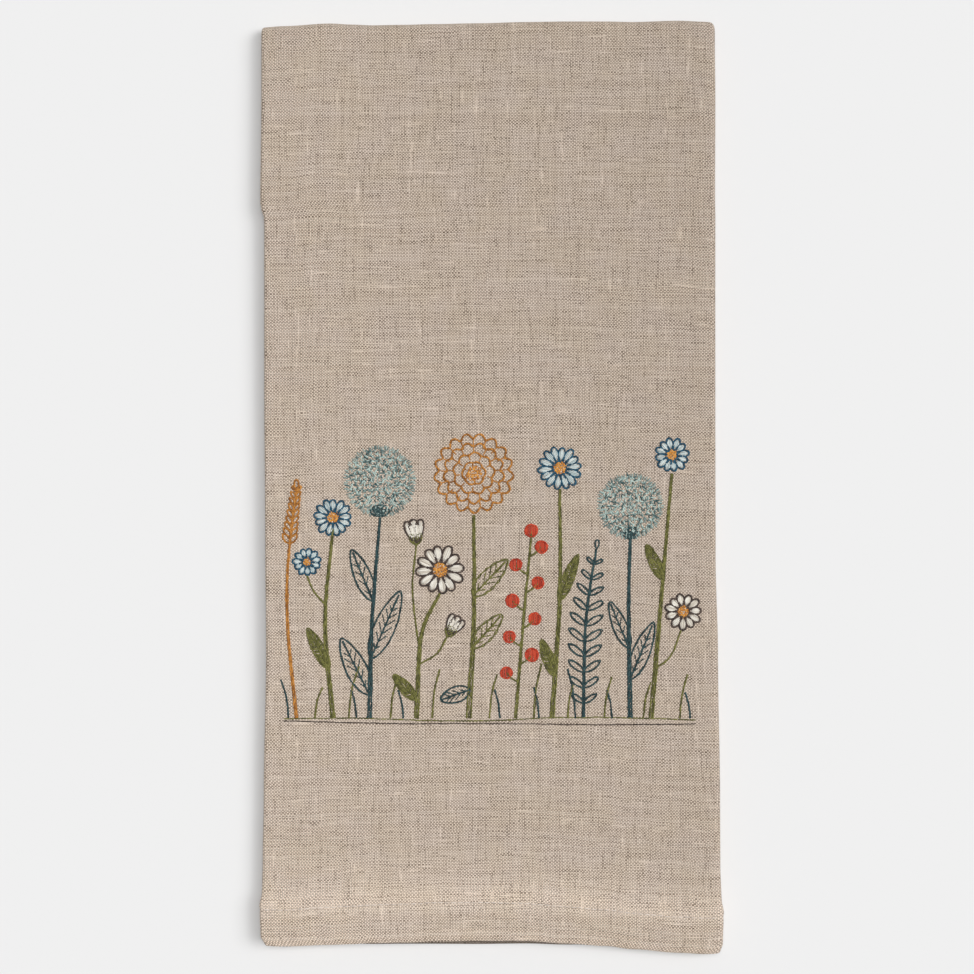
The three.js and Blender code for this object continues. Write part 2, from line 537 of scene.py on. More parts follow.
def make_cloth():
    """The towel as one thin sheet on its folds, with its flat places as a UV map in mm. The map
    runs on over the edges, so that their yarns are woven too."""
    _, _, flat_along = rows_along()
    flat_across = [flat for _, _, flat in columns_across()]
    faces = [cloth_face(1), cloth_face(-1)]
    rows, columns = faces[0].shape[:2]
    count = rows * columns
    points = np.concatenate([face.reshape(-1, 3) for face in faces]) * MM
    points[:, 2] = np.maximum(points[:, 2], 0)
    number = np.arange(count).reshape(rows, columns)
    edges = (
        (number[::-1, 0], (-CLOTH_THICK, 0)),
        (number[:, -1], (CLOTH_THICK, 0)),
        (number[0], (0, -END_DEPTH)),
        (number[-1, ::-1], (0, END_DEPTH)),
    )
    quads = [grid_quads(rows, columns), grid_quads(rows, columns, start=count, flip=True)]
    first_on_edge = 2 * len(quads[0])
    quads += [cut_edge_quads(line, line + count) for line, _ in edges]
    quads = np.concatenate(quads)
    mesh = bpy.data.meshes.new("cloth")
    mesh.from_pydata(points.tolist(), [], quads.tolist())
    flat = np.stack(np.meshgrid(flat_across, flat_along), axis=-1).reshape(-1, 2)
    flat = np.concatenate((flat, flat))[quads]
    for line, beyond in edges:
        next_edge = first_on_edge + len(line) - 1
        flat[first_on_edge:next_edge, 2:] += beyond
        first_on_edge = next_edge
    mesh.uv_layers.new(name="flat_cloth").data.foreach_set("uv", flat.ravel())
    mesh.shade_smooth()
    mesh.update()
    return new_object("linen_cloth", mesh)


def front_point(places):
    """Puts places on the embroidery, in mm from its middle, on the towel's front."""
    x, y = (places + PICTURE_MIDDLE).T
    z = 2 * stack_rise(CLOTH_THICK) * lift_at(x, y)
    return np.stack((x, y, z), axis=-1)


def length_along(path):
    steps = np.hypot(*np.diff(path, axis=0).T)
    return np.concatenate(([0], np.cumsum(steps)))


def divided(path, count):
    """Points that divide a path into equal lengths."""
    along = length_along(path)
    places = np.linspace(0, along[-1], count + 1)
    return np.stack([np.interp(places, along, path[:, axis]) for axis in (0, 1)], axis=-1)


def smooth_path(points, steps=14):
    """A smooth line through points, with so many steps from each to the next."""
    points = np.array(points, float)
    ahead = 2 * points[:1] - points[1:2]
    behind = 2 * points[-1:] - points[-2:-1]
    padded = np.concatenate((ahead, points, behind))
    before, start, end, after = padded[:-3], padded[1:-2], padded[2:-1], padded[3:]
    slope = end - before
    bend = 2 * before - 5 * start + 4 * end - after
    change = 3 * start - before - 3 * end + after
    pieces = [start + 0.5 * share * (slope + share * (bend + share * change))
              for share in np.arange(steps) / steps]
    path = np.stack(pieces, axis=1).reshape(-1, 2)
    return np.concatenate((path, points[-1:]))


def beside(path, offset):
    """A path that runs beside another, at offsets to its left."""
    along = np.gradient(path, axis=0)
    along /= np.hypot(*along.T)[:, None]
    left = np.stack((-along[:, 1], along[:, 0]), axis=-1)
    return path + left * np.broadcast_to(offset, len(path))[:, None]


def pointing(headings):
    """The unit vector that points to each heading."""
    return np.stack((np.cos(headings), np.sin(headings)), axis=-1)


def turned(points, heading, middle):
    """Points drawn pointing up, turned to a heading from the right and moved to a middle."""
    right = pointing(heading - math.pi / 2)
    return points[:, :1] * right + points[:, 1:] * (-right[1], right[0]) + middle


def oval(start, end, width, heavy=0.0, point=1.0, teeth=0, bite=0.0):
    """The outline of a petal or leaf that points up: wider toward its end by the share heavy,
    with more of a point where point is over 1, and with teeth that bite into its edge."""
    turn = np.linspace(0, TURN, 73)
    along = start + (end - start) * (1 - np.cos(turn)) / 2
    across = np.sign(np.sin(turn)) * np.abs(np.sin(turn)) ** point
    across = across * (1 - heavy * np.cos(turn)) * width / 2
    saw = np.abs(2 * ((along - start) / (end - start) * teeth % 1) - 1)
    return np.stack((across * (1 - bite * saw), along), axis=-1)


class Sewing:
    """The stitches of each thread, gathered from all the motifs."""

    def __init__(self):
        self.random = np.random.default_rng(11)
        self.stitches = {}

    def sew(self, thread, start, end, bow=0.0, tone=(0.1, 0.9), width=1.0):
        """Straight stitches from starts to ends, which bow to the left by bow."""
        count = len(start)
        tones = self.random.uniform(*tone, count)
        widths = STRAND_WIDTH * width * self.random.uniform(*STRANDS_DIFFER, count)
        bows = np.broadcast_to(bow, count)
        self.stitches.setdefault(thread, []).append((start, end, bows, tones, widths))

    def line(self, thread, path, passes=2, stitch=STITCH_LENGTH, width=1.0):
        """A line sewn over itself, where every other pass starts with half a stitch."""
        count = max(1, round(length_along(path)[-1] / stitch))
        for number in range(passes):
            aside = (number - (passes - 1) / 2) * PASS_SPREAD
            halves = divided(beside(path, aside), 2 * count)
            holes = halves[::2]
            if number % 2:
                holes = np.concatenate((halves[:1], halves[1::2], halves[-1:]))
            holes = holes + self.random.normal(0, LINE_STRAY, holes.shape)
            bows = self.random.normal(0, LINE_BOW, len(holes) - 1)
            self.sew(thread, holes[:-1], holes[1:], bows, width=width)

    def satin(self, thread, first, second):
        """Stitches side by side that fill the space from one edge to another."""
        widest = max(length_along(first)[-1], length_along(second)[-1])
        count = max(1, round(widest / SATIN_GAP))
        stray = self.random.normal(0, SATIN_STRAY, (2, count + 1, 2))
        bows = self.random.normal(0, SATIN_BOW, count + 1)
        self.sew(thread, divided(first, count) + stray[0], divided(second, count) + stray[1],
                 bows, tone=(0.2, 0.8))

    def scatter(self, thread, middle, radius, spacing=1.1, tone=(0.0, 1.0), lengths=(1.2, 1.9)):
        """Short stitches at all headings over a round patch."""
        reach = np.arange(-radius, radius + spacing, spacing)
        places = np.stack(np.meshgrid(reach, reach), axis=-1).reshape(-1, 2)
        places += self.random.uniform(-0.5, 0.5, places.shape) * spacing
        places = places[np.hypot(*places.T) < radius] + middle
        heading = self.random.uniform(0, math.pi, len(places))
        half = self.random.uniform(*lengths, len(places)) / 2
        half = pointing(heading) * half[:, None]
        bows = self.random.normal(0, SCATTER_BOW, len(places))
        self.sew(thread, places - half, places + half, bows, tone=tone)

    def gathered(self, thread):
        return [np.concatenate(parts) for parts in zip(*self.stitches[thread])]


def circle(middle, radius):
    return pointing(np.linspace(0, TURN, 37)) * radius + middle


def stem(sewing, thread, points, width=1.3):
    """A stem of two lines that draw together toward its top, with one between them unless it is
    thin. Their stitches differ in length, so that the holes don't line up."""
    path = smooth_path(points)
    aside = np.linspace(1, 0.3, len(path)) * width / 2
    left, right, middle = STEM_STITCHES
    sewing.line(thread, beside(path, aside), stitch=left)
    sewing.line(thread, beside(path, -aside), stitch=right)
    if width > THIN_STEM:
        sewing.line(thread, path, passes=1, stitch=middle)
    return path


def twig(sewing, thread, points):
    sewing.line(thread, smooth_path(points))


def filled_petal(sewing, thread, start, end, width, heading, middle):
    """Stitches along a petal, side by side from its base to its tip."""
    count = max(2, round(width / SATIN_GAP))
    across = np.linspace(-0.8, 0.8, count)
    half = np.sqrt(1 - across ** 2) * (end - start) / 2
    half = half * sewing.random.uniform(0.8, 0.98, count)
    halfway = (start + end) / 2
    lower, upper = (np.stack((across * width / 2, halfway + reach), axis=-1)
                    for reach in (-half, half))
    sewing.sew(thread, turned(lower, heading, middle), turned(upper, heading, middle),
               sewing.random.normal(0, LINE_BOW, count))


def open_flower(sewing, middle, radius, petals, outline, filling, first=0.2):
    """Filled and outlined petals round a stippled heart. first is the share of a petal by which
    they are turned. Neighbours touch where they are widest."""
    heart = 0.3 * radius
    widest_at = 0.64 * radius
    width = TURN * widest_at / petals
    for number in range(petals):
        heading = TURN * (number + first + sewing.random.uniform(-0.08, 0.08)) / petals
        end = radius * sewing.random.uniform(0.93, 1.04)
        filled_petal(sewing, filling, heart + 0.4, end - 0.3, 0.8 * width, heading, middle)
        edge = oval(0.9 * heart, end, width, heavy=0.35)
        sewing.line(outline, turned(edge, heading, middle), stitch=OUTLINE_STITCH)
    sewing.scatter("gold", middle, heart, spacing=0.62, lengths=(0.9, 1.3))
    sewing.line(outline, circle(middle, heart), passes=1, stitch=1.0)


def bud(sewing, base, length, heading):
    """A closed cream bud of three petals, the middle one in front, in three olive sepals."""
    for lean, width in ((0.32, 0.34 * length), (-0.32, 0.34 * length), (0.0, 0.42 * length)):
        filled_petal(sewing, "cream", 0.6, length - 0.2, 0.8 * width, heading + lean, base)
        petal = oval(0.3, length, width, heavy=0.25)
        sewing.line("umber", turned(petal, heading + lean, base), stitch=OUTLINE_STITCH)
    for lean in (0.5, 0.0, -0.5):
        sepal = oval(-0.5, 0.48 * length, 0.24 * length, point=1.4)
        sewing.line("olive", turned(sepal, heading + lean, base), stitch=1.2)


def globe(sewing, middle, radius):
    """A round thistle head: stippled in the thread's middle, dark and light tones, with a fringe
    of short spikes and a small cup below."""
    sewing.scatter("teal", middle, 0.94 * radius, spacing=1.15)
    sewing.scatter("teal", middle, 0.9 * radius, spacing=1.9, tone=(0.0, 0.2))
    sewing.scatter("teal", middle, 0.9 * radius, spacing=2.2, tone=(0.85, 1.0))
    spike_gap = 0.75
    spike_length = 1.7
    count = round(TURN * radius / spike_gap)
    away = pointing((np.arange(count) + sewing.random.uniform(-0.3, 0.3, count)) * TURN / count)
    outer = radius * sewing.random.uniform(1.0, 1.1, count)[:, None]
    sewing.sew("teal", away * (outer - spike_length) + middle, away * outer + middle,
               tone=(0.1, 0.8))
    below = np.array(middle) - (0, radius)
    for lean in (-1.1, -0.55, 0.0, 0.55, 1.1):
        cup = oval(-0.6, 0.34 * radius, 0.16 * radius, point=1.3)
        sewing.line("spruce", turned(cup, math.pi / 2 + lean, below), stitch=OUTLINE_STITCH)


def marigold(sewing, middle, radius):
    """A full round flower of scalloped rings, looped in one thread."""
    rings = table("share scallops", (0.3, 6), (0.53, 9), (0.77, 13), (1, 17))
    turn = np.linspace(0, TURN, 361)
    for share, scallops in zip(*rings.values()):
        ring = share * radius
        start = sewing.random.uniform(0, 1)
        out = ring * (0.86 + 0.16 * np.abs(np.sin(scallops * turn / 2 + start)))
        edge = pointing(turn + start) * out[:, None] + middle
        sewing.line("ochre", edge, stitch=1.15, width=1.15)
        dips = (np.arange(scallops) * TURN - 2 * start) / scallops + start
        away = pointing(dips) * ring
        sewing.sew("ochre", 0.66 * away + middle, 0.87 * away + middle)
    sewing.scatter("gold", middle, 0.2 * radius, spacing=0.7, lengths=(0.9, 1.3))


def leaf(sewing, thread, base, tip, width, veins=0, teeth=0, filled=False):
    """A pointed leaf with a midrib, and with side veins or stitches that fill it."""
    reach = np.array(tip) - base
    length = np.hypot(*reach)
    heading = math.atan2(reach[1], reach[0])
    bite = 0.26 if teeth else 0.0
    edge = oval(0, length, width, heavy=-0.2, point=1.35, teeth=teeth, bite=bite)
    sewing.line(thread, turned(edge, heading, base))
    rib = np.array(((0.0, 0.0), (0.0, 0.94 * length)))
    sewing.line(thread, turned(rib, heading, base), stitch=2.1)
    for number in range(veins):
        start = length * (0.14 + 0.66 * number / veins)
        spread = 0.34 * width * math.sin(math.pi * (number + 1.2) / (veins + 1.6))
        for side in (-1, 1):
            vein = np.array(((0.0, start), (side * spread, start + 1.5 * spread)))
            sewing.line(thread, turned(vein, heading, base), passes=1)
    if filled:
        past_base = 4
        before_tip = len(edge) // 2 - 6
        outer = edge[past_base:before_tip] * (0.86, 1)
        inner = np.stack((np.full(len(outer), 0.25), outer[:, 1] - 0.9), axis=-1)
        for side in (-1, 1):
            sewing.satin(thread, turned(inner * (side, 1), heading, base),
                         turned(outer * (side, 1), heading, base))


def frond(sewing, thread, points, pairs, reach):
    """A fern-like frond of narrow leaflets that shorten toward its top."""
    path = stem(sewing, thread, points, width=THIN_STEM)
    joints = divided(path, pairs + 2)
    for number in range(1, pairs + 2):
        along = joints[number + 1] - joints[number]
        heading = math.atan2(along[1], along[0])
        size = reach * math.sin(math.pi * (0.22 + 0.66 * number / (pairs + 2)))
        for side in (-1, 1):
            edge = oval(0, size, 0.3 * size, point=1.2)
            sewing.line(thread, turned(edge, heading + 0.95 * side, joints[number]))
    last = oval(0, 0.5 * reach, 0.2 * reach, point=1.2)
    sewing.line(thread, turned(last, heading, path[-1]))


def berry_twig(sewing, points, berries, reach):
    """A twig with round berries on short stalks to either side, and one on its top."""
    path = stem(sewing, "olive", points, width=THIN_STEM)
    joints = divided(path, berries + 1)[2:]
    for number, joint in enumerate(joints):
        side = 1 if number % 2 else -1
        last = number == len(joints) - 1
        berry = joint + ((0.0, 3.0) if last else (side * reach, 0.8 * reach))
        twig(sewing, "olive", (joint, (joint + berry) / 2 + (0, -0.5), berry))
        ring = circle(berry, sewing.random.uniform(2.0, 2.5))
        half = len(ring) // 2
        sewing.satin("coral", ring[:half + 1], ring[half:][::-1])
        sewing.line("coral", ring, stitch=1.1)


def grain_ear(sewing, points, ear):
    """A stalk of grain whose ear has plump seeds to either side, which get smaller upward."""
    path = stem(sewing, "ochre", points, width=THIN_STEM)
    hundredths = divided(path, 100)
    top = hundredths[round(100 - 100 * ear / length_along(path)[-1]):]
    joints = divided(top, 8)
    for number, joint in enumerate(joints):
        size = 4.6 - 0.2 * number
        for side in (-1, 1):
            seed = turned(oval(0, size, 0.42 * size, heavy=0.1, point=1.1),
                          math.pi / 2 + 0.62 * side, joint)
            sewing.line("ochre", seed, stitch=OUTLINE_STITCH)
    sewing.line("ochre", turned(oval(0, 5, 1.8), math.pi / 2, joints[-1]))


def ground_line(sewing, thread, below, count):
    """A line that wanders along a little below the ground."""
    stray = [sewing.random.uniform(-0.8, 0.8) for _ in range(count)]
    across = np.linspace(-HALF_MEADOW, HALF_MEADOW, count)
    path = np.stack((across, GROUND - below + np.array(stray)), axis=-1)
    sewing.line(thread, smooth_path(path), passes=1, stitch=2.2)


def meadow(sewing):
    """A row of meadow plants, growing side by side from the same ground."""
    stem(sewing, "olive", ((-60, GROUND), (-63, -20), (-60, 16)))
    twig(sewing, "olive", ((-62.5, -14), (-67.5, -8), (-70, -2)))
    leaf(sewing, "olive", (-61.5, -38), (-70, -22), 4.6, filled=True)
    open_flower(sewing, (-60, 20), 7.5, 13, "blue", "pale_blue")
    open_flower(sewing, (-70, 3), 5.5, 11, "blue", "pale_blue", first=0.4)

    stem(sewing, "spruce", ((-46, GROUND), (-45, -20), (-42, 20)))
    leaf(sewing, "spruce", (-46, -48), (-57, -26), 8, veins=5)
    leaf(sewing, "spruce", (-45.5, -34), (-34, -8), 8, veins=6)
    leaf(sewing, "spruce", (-44.6, -12), (-53, 8), 6.4, veins=4)
    globe(sewing, (-42, 34), 13)

    stem(sewing, "olive", ((-28, GROUND), (-26, -25), (-19, -9)))
    twig(sewing, "olive", ((-27, -30), (-29.5, -8), (-28, 10)))
    twig(sewing, "olive", ((-26.5, -36), (-20, -32), (-16, -25)))
    leaf(sewing, "olive", (-28, -50), (-37, -40), 4.4, filled=True)
    open_flower(sewing, (-19, 0), 9.6, 12, "umber", "cream")
    bud(sewing, (-28, 10), 9.5, math.radians(98))
    bud(sewing, (-16, -25), 8.5, math.radians(58))

    stem(sewing, "olive", ((-8, GROUND), (-6, -20), (-6, 21)), width=1.6)
    leaf(sewing, "olive", (-6.8, -30), (5, -17), 7, veins=4, teeth=7)
    leaf(sewing, "olive", (-6.4, -10), (7, 4), 8, veins=4, teeth=8)
    leaf(sewing, "spruce", (-7.5, -46), (-19, -50), 6, veins=4)
    marigold(sewing, (-6, 37), 15)

    berry_twig(sewing, ((10, GROUND), (13, -20), (16, 12)), berries=9, reach=4.6)

    stem(sewing, "olive", ((24, GROUND), (27, -10), (27, 31)))
    leaf(sewing, "olive", (25.2, -41), (19.8, -26.5), 4.4, filled=True)
    leaf(sewing, "olive", (26.6, -12), (34, 6), 4.4, filled=True)
    open_flower(sewing, (27, 39), 8.5, 14, "blue", "pale_blue")

    frond(sewing, "spruce", ((36, GROUND), (37, -20), (41, 8)), pairs=9, reach=8)

    stem(sewing, "spruce", ((54, GROUND), (53.4, -15), (54, 12)))
    leaf(sewing, "spruce", (54, -42), (63, -20), 6.5, veins=5)
    leaf(sewing, "spruce", (53.6, -30), (46, -12), 5.5, veins=4)
    globe(sewing, (54, 24.5), 12)

    stem(sewing, "olive", ((62, GROUND), (66, -10), (70, 37)))
    twig(sewing, "olive", ((63.6, -38), (69.5, -33), (73.6, -23)))
    leaf(sewing, "olive", (66.6, -4), (60, 10), 4.2, filled=True)
    open_flower(sewing, (74.4, -16), 7.2, 11, "umber", "cream", first=0.1)
    open_flower(sewing, (70, 44), 6.8, 12, "blue", "pale_blue", first=0.3)

    grain_ear(sewing, ((-74, GROUND), (-77.5, -20), (-77, 5), (-74, 30)), ear=20)
    ground_line(sewing, "olive", below=0.4, count=7)
    ground_line(sewing, "umber", below=1.6, count=5)
    for x, height, lean in zip(*GRASS.values()):
        blade = ((x, GROUND), (x + 0.3 * lean, GROUND + 0.55 * height),
                 (x + lean, GROUND + height))
        twig(sewing, "olive" if lean > 0 else "spruce", blade)


def stitch_tubes(start, end, up, bow, width):
    """The points of a closed tube along each stitch, ring by ring."""
    along = end - start
    aside = np.cross(up, along / np.linalg.norm(along, axis=1, keepdims=True))
    turn = TURN * np.arange(TUBE_SIDES) / TUBE_SIDES
    section = (aside[:, None] * np.cos(turn)[:, None]
               + up[:, None] * STRAND_FLATNESS * np.sin(turn)[:, None])
    rings = []
    for share, swell, rise in zip(*TUBE_RINGS.values()):
        bowed = aside * (bow * 4 * share * (1 - share))[:, None]
        middle = start + along * share + bowed + up * (rise * width)[:, None]
        rings.append(middle[:, None] + section * (swell * width / 2)[:, None, None])
    return np.stack(rings, axis=1)


def thread_object(name, material, start, end, up, bow, tone, width):
    """Stitches as one object, with each stitch's tone and each corner's place on its thread."""
    tubes = stitch_tubes(start, end, up, bow, width)
    stitches, rings, sides = tubes.shape[:3]
    number = np.arange(stitches * rings * sides).reshape(stitches, rings, sides)
    beyond = np.roll(number, -1, axis=2)
    quads = np.stack((number[:, :-1], beyond[:, :-1], beyond[:, 1:], number[:, 1:]), axis=-1)
    caps = np.concatenate((number[:, 0, ::-1], number[:, -1]))
    mesh = bpy.data.meshes.new(name)
    mesh.from_pydata((tubes.reshape(-1, 3) * MM).tolist(), [],
                     quads.reshape(-1, 4).tolist() + caps.tolist())
    length = np.linalg.norm(end - start, axis=1)[:, None]
    places = length * TUBE_RINGS["share"] + PLY_SHIFT * tone[:, None]
    corners = np.zeros(quads.shape + (2,))
    corners[..., 0:2, 0] = places[:, :-1, None, None]
    corners[..., 2:4, 0] = places[:, 1:, None, None]
    corners[..., 1] = (np.arange(sides)[:, None] + (0, 1, 1, 0)) / sides
    cap_corners = np.zeros(2 * caps.size)
    layer = mesh.uv_layers.new(name="along_thread")
    layer.data.foreach_set("uv", np.concatenate((corners.ravel(), cap_corners)))
    tones = mesh.attributes.new("tone", "FLOAT", "POINT")
    tones.data.foreach_set("value", np.repeat(tone, rings * sides))
    mesh.shade_smooth()
    mesh.update()
    mesh.materials.append(material)
    threads = new_object(name, mesh)
    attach(threads, "root")
    return threads


def make_embroidery(twist):
    """The meadow, as one object for each thread."""
    sewing = Sewing()
    meadow(sewing)
    made = []
    for thread, colours in THREADS.items():
        start, end, *others = sewing.gathered(thread)
        start, end = front_point(start), front_point(end)
        up = np.broadcast_to((0.0, 0.0, 1.0), start.shape)
        material = thread_material(f"{thread} thread", *colours, twist)
        threads = thread_object(f"embroidery_{thread}", material, start, end, up, *others)
        made.append(threads)
    return made


def stretch_at(flat):
    """The stretch across the cloth in which a flat place lies, and its share along that."""
    start = 0
    for stretch in STRETCHES:
        share = (flat - start) / stretch["length"]
        if share <= 1:
            return stretch["name"], share
        start += stretch["length"]


def hem_point(flat, side, from_end, turn):
    """A point on one face of the cloth, near its hemmed end."""
    return cloth_points(*stretch_at(flat), flat, side, from_end, turn)


def make_hem_stitches(twist):
    """One row of machine stitches along both hems, on both faces of the cloth. The table
    presses those on the underside into the cloth."""
    random = np.random.default_rng(3)
    rows = []
    for turn in (0, math.pi):
        for side in (1, -1):
            for number in range(int(CLOTH_WIDTH / HEM_STITCH)):
                first = number * HEM_STITCH + HEM_STITCH_GAP
                last = first + HEM_STITCH - HEM_STITCH_GAP
                middle = (first + last) / 2
                line = STITCH_LINE + hem_wander(middle) + random.normal(0, HEM_STRAY)
                start = hem_point(first, side, line, turn)
                end = hem_point(last, side, line, turn)
                up = hem_point(middle, side, line, turn) - hem_point(middle, -side, line, turn)
                rows.append((start, end, up / np.linalg.norm(up)))
    start, end, up = (np.array(part) for part in zip(*rows))
    for points in (start, end):
        points[:, 2] = np.maximum(points[:, 2], PRESSED_IN)
    count = len(rows)
    tone = random.uniform(0.2, 0.8, count)
    material = thread_material("hem thread", *HEM_THREAD, twist)
    stitches = thread_object("hem_stitches", material, start, end, up, np.zeros(count), tone,
                             np.full(count, HEM_STRAND))
    return stitches


class Nodes:
    """Adds nodes to a tree. An input may be a socket to link or a value to set."""

    def __init__(self, tree):
        self.tree = tree

    def give(self, socket, value):
        if isinstance(value, bpy.types.NodeSocket):
            self.tree.links.new(value, socket)
        else:
            socket.default_value = value

    def give_all(self, node, inputs):
        for name, value in inputs.items():
            self.give(node.inputs[name], value)

    def add(self, kind, inputs=(), **settings):
        node = self.tree.nodes.new(kind)
        for name, value in settings.items():
            setattr(node, name, value)
        self.give_all(node, dict(inputs))
        return node

    def maths(self, operation, *values, clamp=False):
        inputs = dict(enumerate(values))
        node = self.add("ShaderNodeMath", inputs, operation=operation, use_clamp=clamp)
        return node.outputs[0]

    def swing(self, middle, chance, amount):
        """A middle value, which a chance from 0 to 1 moves by up to half an amount."""
        from_half = self.maths("SUBTRACT", chance, 0.5)
        return self.maths("MULTIPLY_ADD", from_half, amount, middle)

    def vector_maths(self, operation, *values):
        node = self.add("ShaderNodeVectorMath", dict(enumerate(values)), operation=operation)
        return node.outputs

    def blend(self, share, first, second, mode="MIX"):
        inputs = {"Factor": share, "A": first, "B": second}
        node = self.add("ShaderNodeMix", inputs, data_type="RGBA", blend_type=mode)
        return node.outputs["Result"]

    def vector(self, x, y):
        return self.add("ShaderNodeCombineXYZ", {"X": x, "Y": y}).outputs[0]

    def parts(self, vector):
        return self.add("ShaderNodeSeparateXYZ", {"Vector": vector}).outputs

    def noise(self, vector, scale, detail=2.0, roughness=0.5):
        inputs = {"Vector": vector, "Scale": scale, "Detail": detail, "Roughness": roughness}
        node = self.add("ShaderNodeTexNoise", inputs, noise_dimensions="2D")
        return node.outputs["Fac"]

    def chance(self, x, y):
        inputs = {"Vector": self.vector(x, y)}
        node = self.add("ShaderNodeTexWhiteNoise", inputs, noise_dimensions="2D")
        return node.outputs["Value"]

    def spread(self, value, low, high, to_low, to_high):
        inputs = {"Value": value, "From Min": low, "From Max": high,
                  "To Min": to_low, "To Max": to_high}
        return self.add("ShaderNodeMapRange", inputs).outputs[0]

    def bump(self, height, distance, strength):
        inputs = {"Height": height, "Distance": distance * MM, "Strength": strength}
        return self.add("ShaderNodeBump", inputs).outputs["Normal"]


def new_group(name, inputs, outputs):
    """An empty shader node group. inputs and outputs give each socket's name and kind."""
    group = bpy.data.node_groups.new(name, "ShaderNodeTree")
    for socket, kind in inputs.items():
        group.interface.new_socket(socket, in_out="INPUT", socket_type=kind)
    for socket, kind in outputs.items():
        group.interface.new_socket(socket, in_out="OUTPUT", socket_type=kind)
    nodes = Nodes(group)
    entry = nodes.add("NodeGroupInput")
    leave = nodes.add("NodeGroupOutput")
    return group, nodes, entry.outputs, leave.inputs


def yarns_at(nodes, kind, across, along, slubs):
    """The yarn of one set that a place lies on: its number, the place across it, its middle and
    width there, in pitches, its swelling and slubs, and its tone."""
    drift = nodes.noise(nodes.vector(across, along), kind["drift"], detail=3.0)
    across = nodes.maths("DIVIDE", across, kind["pitch"])
    across = nodes.maths("MULTIPLY_ADD", drift, YARN_DRIFT, across)
    number = nodes.maths("FLOOR", across)
    own = nodes.chance(number, kind["seed"])
    apart = nodes.maths("MULTIPLY", number, YARNS_APART)
    stretch = nodes.vector(apart, nodes.maths("MULTIPLY_ADD", own, YARN_STARTS, along))
    swelling = nodes.noise(stretch, SWELL_SCALE, roughness=0.55)
    slub = nodes.spread(nodes.noise(stretch, SLUB_SCALE), *SLUB_RANGE, 0.0, 1.0)
    elsewhere = nodes.vector_maths("ADD", stretch, SWAY_PLACE)["Vector"]
    sway = nodes.noise(elsewhere, SWAY_SCALE, detail=1.0)
    width = nodes.swing(kind["width"], own, YARNS_DIFFER)
    tone = nodes.swing(0.5, own, kind["tones_differ"])
    tone = nodes.swing(tone, swelling, kind["tone_varies"])
    return {
        "number": number,
        "place": nodes.maths("SUBTRACT", across, number),
        "middle": nodes.swing(0.5, sway, kind["sway"]),
        "width": nodes.swing(width, swelling, UNEVEN),
        "swelling": swelling,
        "slub": slub,
        "tone": nodes.maths("MULTIPLY_ADD", slub, slubs, tone),
    }


def yarn_height(nodes, yarn, crossing, over, top):
    """How high a round yarn stands where it passes over or under the yarn that crosses it."""
    aside = nodes.maths("ABSOLUTE", nodes.maths("SUBTRACT", yarn["place"], yarn["middle"]))
    aside = nodes.maths("DIVIDE", aside, nodes.maths("MULTIPLY", yarn["width"], 0.5))
    rounding = nodes.maths("SUBTRACT", 1.0, nodes.maths("MULTIPLY", aside, aside), clamp=True)
    rounding = nodes.maths("SQRT", rounding)
    crown = nodes.maths("SINE", nodes.maths("MULTIPLY", crossing["place"], math.pi))
    above = nodes.maths("MULTIPLY_ADD", crown, 0.5 * top, 0.5 * top)
    below = nodes.maths("MULTIPLY_ADD", crown, -UNDER_DIP, UNDER_LEVEL)
    level = nodes.maths("MULTIPLY_ADD", nodes.maths("SUBTRACT", above, below), over, below)
    return nodes.maths("MULTIPLY", rounding, level)


def plain_weave():
    """Plain-woven linen from a flat place in mm: its tone, the shade in it and its height."""
    group, nodes, given, out = new_group(
        "plain weave",
        {"Flat place": "NodeSocketVector", "Slubs": "NodeSocketFloat", "Pits": "NodeSocketFloat"},
        {"Tone": "NodeSocketFloat", "Depth": "NodeSocketFloat", "Height": "NodeSocketFloat"},
    )
    flat = nodes.parts(given["Flat place"])
    warp = yarns_at(nodes, WARP, flat["X"], flat["Y"], given["Slubs"])
    weft = yarns_at(nodes, WEFT, flat["Y"], flat["X"], given["Slubs"])
    both = nodes.maths("ADD", warp["number"], weft["number"])
    warp_over = nodes.maths("FLOORED_MODULO", both, 2.0)
    weft_over = nodes.maths("SUBTRACT", 1.0, warp_over)
    warp_height = yarn_height(nodes, warp, weft, warp_over, WARP["crown"])
    weft_height = yarn_height(nodes, weft, warp, weft_over, WEFT["crown"])
    height = nodes.maths("MAXIMUM", warp_height, weft_height)
    warp_on_top = nodes.maths("GREATER_THAN", warp_height, weft_height)
    step = nodes.maths("SUBTRACT", warp["tone"], weft["tone"])
    slubs = nodes.maths("ADD", warp["slub"], weft["slub"])
    filled = nodes.maths("MULTIPLY_ADD", slubs, SLUB_FILLS, height)
    thinner = nodes.maths("MINIMUM", weft["swelling"], warp["swelling"])
    thin = nodes.maths("SUBTRACT", 0.5, thinner)
    chance = nodes.chance(warp["number"], weft["number"])
    chance = nodes.maths("MULTIPLY_ADD", thin, THIN_ADDS, chance)
    pit = nodes.maths("MULTIPLY", nodes.spread(chance, *PIT_RANGE, 0.0, 1.0), given["Pits"])
    shade = nodes.spread(nodes.maths("SUBTRACT", filled, pit), *SHADED_HEIGHTS, 1.0, 0.0)
    nodes.give(out["Tone"], nodes.maths("MULTIPLY_ADD", step, warp_on_top, weft["tone"]))
    nodes.give(out["Depth"], nodes.maths("POWER", shade, SHADE_CURVE))
    nodes.give(out["Height"], height)
    return group


def new_material(name):
    material = bpy.data.materials.new(name)
    material.use_nodes = True
    nodes = Nodes(material.node_tree)
    shader = next(n for n in material.node_tree.nodes if n.type == "BSDF_PRINCIPLED")
    return material, nodes, shader


